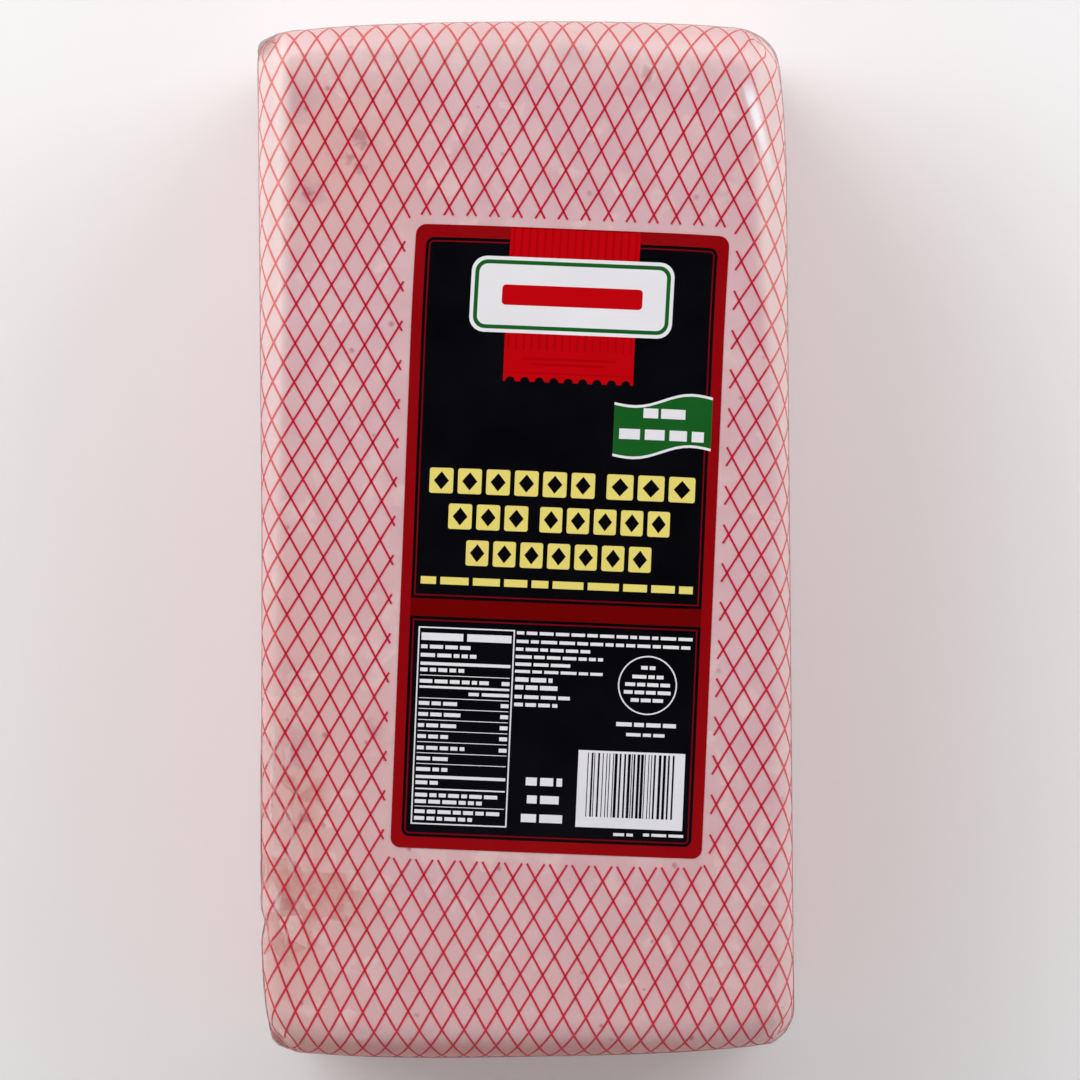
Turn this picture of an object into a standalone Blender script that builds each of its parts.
"""A whole cooked ham, pressed into a block and sealed in clear printed film.

The block lies on its flat back with the label face up. X is its width, Y its length and Z its
thickness, and the origin is at the middle of the face it rests on. Lengths are in metres.
"""
import math

import bmesh
import bpy
from mathutils import Vector

# The pressed block
WIDTH = 0.1655
LENGTH = 0.3211
THICK = 0.1080
HALF = Vector((WIDTH / 2, LENGTH / 2, THICK / 2))

# Rounding of its edges
FACE_RADIUS = 0.0095
FOOT_RADIUS = 0.0115
BACK_RADIUS = 0.0080
RIGHT_CORNER_RADIUS = 0.0085
LEFT_CORNER_RADIUS = 0.0025
CORNER_SAG = 0.0050

# How the sides and ends swell and lean
FACE_CROWN = 0.0022
SIDE_SWELL = 0.0012
END_BOW = 0.0034
SIDE_LEAN = 0.0085
HEAD_TAPER = 1.2
HEAD_TAPER_FROM = 0.110
FOOT_TAPER = 2.0
FOOT_TAPER_FROM = 0.120
HEAD_TILT = 0.0075
FOOT_TILT = 0.016

# The dent where the film is pinched into the left side
PINCH_Y = -0.1195
PINCH_DEPTH = 0.0011
PINCH_REACH = 0.0035

# The label panel on the upper face
LABEL_WIDTH = 0.0955
LABEL_LENGTH = 0.1918
LABEL_CENTRE = Vector((0.0107, -0.0012))
LABEL_TURN = math.radians(-2.3)
LABEL_RADIUS = 0.0030
LABEL_THICK = 0.0004

# The heat-sealed tails folded down on the ends
SEAL_LENGTH = 0.1360
SEAL_HEIGHT = 0.0120
SEAL_THICK = 0.0006
SEAL_TOP = 0.0600

GAP = 0.0003

COLLECTION_NAME = "cooked_ham"
HAM_PINK = (0.66, 0.43, 0.44, 1.0)
LABEL_DARK = (0.03, 0.006, 0.008, 1.0)
FILM_CLEAR = (0.78, 0.66, 0.66, 1.0)


def clear_scene():
    for old in list(bpy.data.objects):
        bpy.data.objects.remove(old)


def make_collection(name):
    group = bpy.data.collections.new(name)
    bpy.context.scene.collection.children.link(group)
    return group


def make_material(name, colour, roughness):
    material = bpy.data.materials.new(name)
    material.use_nodes = True
    shader = material.node_tree.nodes["Principled BSDF"]
    shader.inputs["Base Color"].default_value = colour
    shader.inputs["Roughness"].default_value = roughness
    shader.inputs["Metallic"].default_value = 0.0
    return material


def ramp(low, high, value):
    """0 up to low, 1 from high, and a smooth step between."""
    t = min(max((value - low) / (high - low), 0.0), 1.0)
    return t * t * (3.0 - 2.0 * t)


def mix(a, b, share):
    return a + (b - a) * share


def edge_radii(p):
    """Rounding along X, Y and Z for a point of the square-edged box, centred on the origin."""
    face = ramp(0.45, 0.90, p.z / HALF.z)
    back = ramp(0.45, 0.90, -p.z / HALF.z)
    right = ramp(-0.5, 0.5, p.x / HALF.x)
    foot = ramp(-0.5, 0.5, -p.y / HALF.y)
    corner = mix(LEFT_CORNER_RADIUS, RIGHT_CORNER_RADIUS, right)
    upper = mix(FACE_RADIUS, FOOT_RADIUS, foot)
    flat = 1.0 - face - back
    along_x = FACE_RADIUS * face + BACK_RADIUS * back + corner * flat
    along_y = upper * face + BACK_RADIUS * back + corner * flat
    along_z = mix(BACK_RADIUS, upper, ramp(-0.4, 0.4, p.z / HALF.z))
    return Vector((along_x, along_y, along_z))


def round_off(p):
    """Moves a point of the square-edged box onto the box with rounded edges."""
    radii = edge_radii(p)
    core = Vector([min(max(c, -(h - r)), h - r) for c, h, r in zip(p, HALF, radii)])
    way = Vector([(c - k) / r for c, k, r in zip(p, core, radii)])
    way.normalize()
    return Vector([k + r * w for k, r, w in zip(core, radii, way)])


def side_reach(x, y):
    """Half the width at a station along the length, wider to the foot on the right."""
    if x > 0.0:
        past = max(0.0, y - HEAD_TAPER_FROM)
        return HALF.x - SIDE_LEAN * y - HEAD_TAPER * past * past
    past = max(0.0, -y - FOOT_TAPER_FROM)
    return HALF.x + SIDE_LEAN * max(0.0, y) - FOOT_TAPER * past * past


def swell(p):
    """Turns the regular rounded box into the pressed block with its bowed faces."""
    u, v, w = p.x / HALF.x, p.y / HALF.y, p.z / HALF.z
    x = p.x * side_reach(p.x, p.y) / HALF.x
    x -= math.copysign(SIDE_SWELL * w * w * abs(u) ** 3, u)
    pinch = PINCH_DEPTH * math.exp(-((p.y - PINCH_Y) / PINCH_REACH) ** 2)
    x += pinch * ramp(0.80, 1.0, -u) * ramp(-0.9, 0.0, w)
    bow = END_BOW * abs(u) ** 3
    if v > 0.0:
        y = p.y - (bow - HEAD_TILT * p.x) * ramp(0.55, 1.0, v)
    else:
        y = p.y + (bow + FOOT_TILT * p.x) * ramp(0.55, 1.0, -v)
    upper = ramp(-1.0, 1.0, w)
    crown = FACE_CROWN * (0.5 * u * u + 0.5 * v * v)
    sag = CORNER_SAG * (u * u) ** 4 * (v * v) ** 8
    z = p.z - (crown + sag) * upper
    return Vector((x, y, z + HALF.z))


def block_surface(p):
    return swell(round_off(Vector(p)))


def stations(half, radius, flat_steps, extra=()):
    """Cut places along one axis: close together over the roundings, wide apart between."""
    turns = [math.tan(math.radians(a)) for a in (0, 15, 30)]
    edge = [half - radius * (1.0 - t) for t in turns]
    inner = half - radius
    flat = [inner * (2.0 * i / flat_steps - 1.0) for i in range(1, flat_steps)]
    return sorted(edge + [-e for e in edge] + flat + list(extra))


def cut_box(bm, places, axis):
    normal = Vector((0.0, 0.0, 0.0))
    normal[axis] = 1.0
    for place in places:
        parts = bm.verts[:] + bm.edges[:] + bm.faces[:]
        bmesh.ops.bisect_plane(bm, geom=parts, dist=1e-7, plane_co=normal * place, plane_no=normal)


def add_object(name, bm, group, material, smooth_angle=40.0):
    mesh = bpy.data.meshes.new(name)
    bm.to_mesh(mesh)
    bm.free()
    obj = bpy.data.objects.new(name, mesh)
    group.objects.link(obj)
    mesh.materials.append(material)
    mesh.shade_smooth()
    mesh.set_sharp_from_angle(angle=math.radians(smooth_angle))
    return obj


def make_pack(group, material):
    """The sealed block as one closed solid out to the film."""
    bm = bmesh.new()
    bmesh.ops.create_cube(bm, size=2.0)
    bmesh.ops.scale(bm, vec=HALF, verts=bm.verts)
    pinch = [PINCH_Y + PINCH_REACH * step for step in (-2.0, -1.0, 0.0, 1.0, 2.0)]
    cut_box(bm, stations(HALF.x, FACE_RADIUS, 8), 0)
    cut_box(bm, stations(HALF.y, FACE_RADIUS, 14, pinch), 1)
    cut_box(bm, stations(HALF.z, FACE_RADIUS, 6), 2)
    for vert in bm.verts:
        vert.co = block_surface(vert.co)
    bmesh.ops.triangulate(bm, faces=bm.faces)
    return add_object("pack", bm, group, material)


def add_solidify(obj, thickness):
    """Gives a sheet its thickness on the side that its faces point to."""
    shell = obj.modifiers.new("thickness", "SOLIDIFY")
    shell.thickness = thickness
    shell.offset = 1.0
    return shell


def label_outline_point(u, v):
    """A place on the label, from -1 to 1 each way, with the four corners drawn in to an arc."""
    x, y = u * LABEL_WIDTH / 2, v * LABEL_LENGTH / 2
    inner_x = LABEL_WIDTH / 2 - LABEL_RADIUS
    inner_y = LABEL_LENGTH / 2 - LABEL_RADIUS
    over_x, over_y = abs(x) - inner_x, abs(y) - inner_y
    if over_x > 0.0 and over_y > 0.0:
        size = math.hypot(over_x, over_y)
        pull = max(over_x, over_y) / size
        x = math.copysign(inner_x + over_x * pull, x)
        y = math.copysign(inner_y + over_y * pull, y)
    turn = LABEL_TURN
    across = x * math.cos(turn) - y * math.sin(turn)
    along = x * math.sin(turn) + y * math.cos(turn)
    return LABEL_CENTRE.x + across, LABEL_CENTRE.y + along


def axis_shares(length, steps):
    """Shares from -1 to 1 along the label, with closer steps over its corner arcs."""
    edge = 1.0 - 2.0 * LABEL_RADIUS / length
    inner = [edge * (2.0 * i / steps - 1.0) for i in range(steps + 1)]
    outer = [mix(edge, 1.0, t) for t in (0.5, 1.0)]
    return sorted(inner + outer + [-o for o in outer])


def make_label(group, material):
    """The printed panel as a thin plate that follows the crown of the upper face."""
    bm = bmesh.new()
    across = axis_shares(LABEL_WIDTH, 8)
    along = axis_shares(LABEL_LENGTH, 14)
    bmesh.ops.create_grid(bm, x_segments=len(across) - 1, y_segments=len(along) - 1, size=1.0)
    for vert in bm.verts:
        column = round((vert.co.x + 1.0) / 2.0 * (len(across) - 1))
        row = round((vert.co.y + 1.0) / 2.0 * (len(along) - 1))
        x, y = label_outline_point(across[column], along[row])
        vert.co = block_surface((x, y, HALF.z))
        vert.co.z += GAP
    label = add_object("label", bm, group, material)
    add_solidify(label, LABEL_THICK)
    return label


def make_seal(name, group, material, end):
    """One heat-sealed tail, folded down flat against the end at +Y or -Y."""
    bm = bmesh.new()
    bmesh.ops.create_grid(bm, x_segments=16, y_segments=2, size=1.0)
    for vert in bm.verts:
        x = vert.co.x * SEAL_LENGTH / 2
        z = SEAL_TOP - HALF.z - SEAL_HEIGHT * (1.0 - vert.co.y) / 2
        vert.co = block_surface((x, end * HALF.y, z))
        vert.co.y += end * GAP
    if end > 0:
        bmesh.ops.reverse_faces(bm, faces=bm.faces)
    seal = add_object(name, bm, group, material)
    add_solidify(seal, SEAL_THICK)
    return seal


def main():
    clear_scene()
    group = make_collection(COLLECTION_NAME)
    film = make_material("sealed_ham", HAM_PINK, 0.18)
    print_dark = make_material("label_print", LABEL_DARK, 0.22)
    tail = make_material("film_tail", FILM_CLEAR, 0.15)
    make_pack(group, film)
    make_label(group, print_dark)
    make_seal("head_seal", group, tail, 1)
    make_seal("foot_seal", group, tail, -1)


main()
